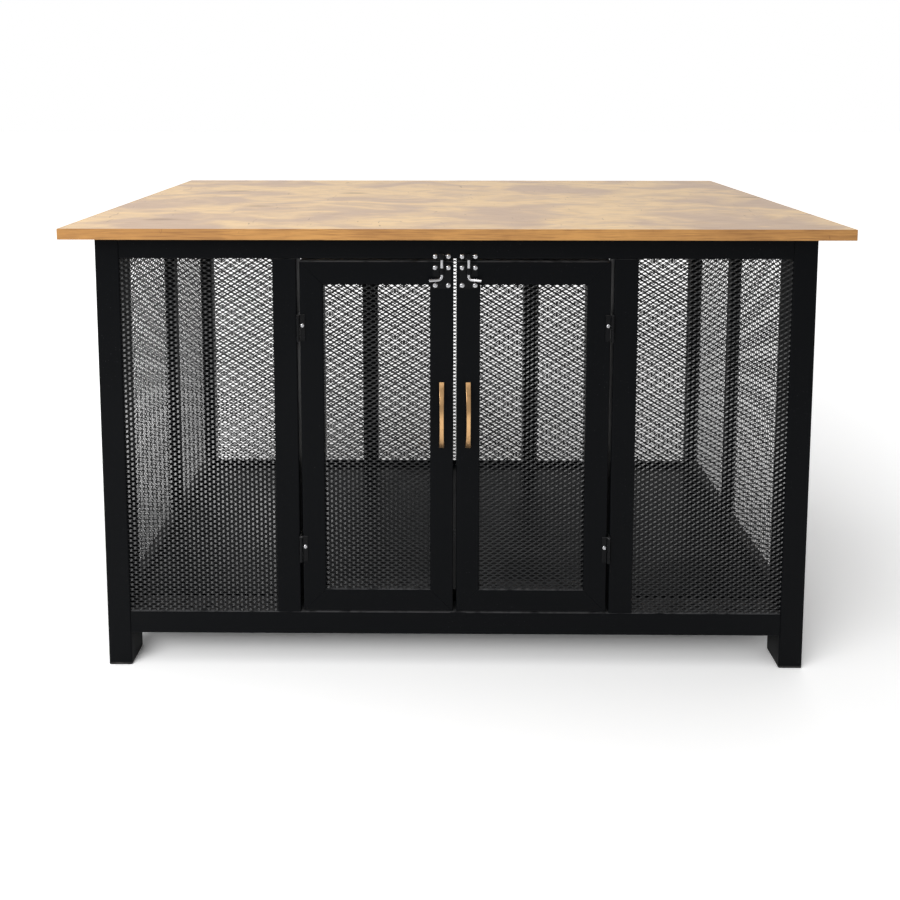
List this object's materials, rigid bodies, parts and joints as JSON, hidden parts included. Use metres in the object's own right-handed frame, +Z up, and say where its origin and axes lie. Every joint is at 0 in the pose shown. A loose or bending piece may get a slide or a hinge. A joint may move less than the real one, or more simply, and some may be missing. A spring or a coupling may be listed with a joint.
{
  "type": "dog crate table",
  "caption": "Indoor dog crate with a rectangular steel tube frame, diamond mesh walls, two hinged mesh doors with sliding bolts and pulls, and a wood table top.",
  "frame": {"origin": "on the floor below the middle of the table top", "axes": "+X to the right along the front, +Y from the doors to the back, +Z up"},
  "size_m": [1.219, 0.61, 0.727],
  "materials": {
    "oak_board": "matt oak laminate, golden brown with darker clouds and knots",
    "oak_edge": "matt oak edge band",
    "black_steel": "satin black powder coat",
    "black_mesh": "satin black powder coat on expanded steel",
    "black_tray": "semi-gloss black powder coat",
    "black_hardware": "satin black plated steel",
    "black_plastic": "matt black moulded plastic",
    "bright_steel": "bright zinc-plated steel",
    "brushed_gold": "brushed gold"
  },
  "bodies": {
    "crate": {"back_mesh_left": "black_mesh", "back_mesh_middle": "black_mesh", "back_mesh_right": "black_mesh", "back_post_left": "black_steel", "back_post_right": "black_steel", "bolt_keepers": "black_hardware", "door_post_left": "black_steel", "door_post_right": "black_steel", "door_stop": "black_steel", "floor_bearers": "black_steel", "floor_tray": "black_tray", "frame_screws": "bright_steel", "front_bottom_rail": "black_steel", "front_leg_caps": "black_plastic", "front_mesh_left": "black_mesh", "front_mesh_right": "black_mesh", "front_post_left": "black_steel", "front_post_right": "black_steel", "front_top_rail": "black_steel", "hinge_pins": "bright_steel", "post_hinge_leaves": "black_hardware", "rear_bottom_rail": "black_steel", "rear_leg_caps": "black_plastic", "rear_post_left": "black_steel", "rear_post_right": "black_steel", "rear_top_rail": "black_steel", "side_bottom_rail_left": "black_steel", "side_bottom_rail_right": "black_steel", "side_mesh_left_front": "black_mesh", "side_mesh_left_rear": "black_mesh", "side_mesh_right_front": "black_mesh", "side_mesh_right_rear": "black_mesh", "side_post_left": "black_steel", "side_post_right": "black_steel", "side_top_rail_left": "black_steel", "side_top_rail_right": "black_steel", "table_core": "oak_board", "table_edge_band": "oak_edge", "top_brackets": "black_steel", "tray_rim": "black_tray"},
    "left_door": {"left_door_hinge_stile": "black_steel", "left_door_lock_stile": "black_steel", "left_door_top_rail": "black_steel", "left_door_bottom_rail": "black_steel", "left_door_mesh": "black_mesh", "left_handle": "brushed_gold", "left_bolt_barrel": "black_hardware", "left_door_screws": "bright_steel", "left_door_hinge_leaves": "black_hardware"},
    "right_door": {"right_door_hinge_stile": "black_steel", "right_door_lock_stile": "black_steel", "right_door_top_rail": "black_steel", "right_door_bottom_rail": "black_steel", "right_door_mesh": "black_mesh", "right_handle": "brushed_gold", "right_bolt_barrel": "black_hardware", "right_door_screws": "bright_steel", "right_door_hinge_leaves": "black_hardware"},
    "left_bolt": {"left_bolt_rod": "bright_steel"},
    "right_bolt": {"right_bolt_rod": "bright_steel"}
  },
  "joints": [
    {"name": "left_door_hinge", "type": "hinge", "parent": "crate", "child": "left_door", "pos_m": [-0.24675, -0.2818, 0.4], "axis": [0, 0, -1], "range_deg": [0, 165]},
    {"name": "right_door_hinge", "type": "hinge", "parent": "crate", "child": "right_door", "pos_m": [0.24675, -0.2818, 0.4], "axis": [0, 0, 1], "range_deg": [0, 165]},
    {"name": "left_bolt_slide", "type": "slide", "parent": "left_door", "child": "left_bolt", "axis": [0, 0, -1], "range_m": [0, 0.014]},
    {"name": "right_bolt_slide", "type": "slide", "parent": "right_door", "child": "right_bolt", "axis": [0, 0, -1], "range_m": [0, 0.014]}
  ]
}
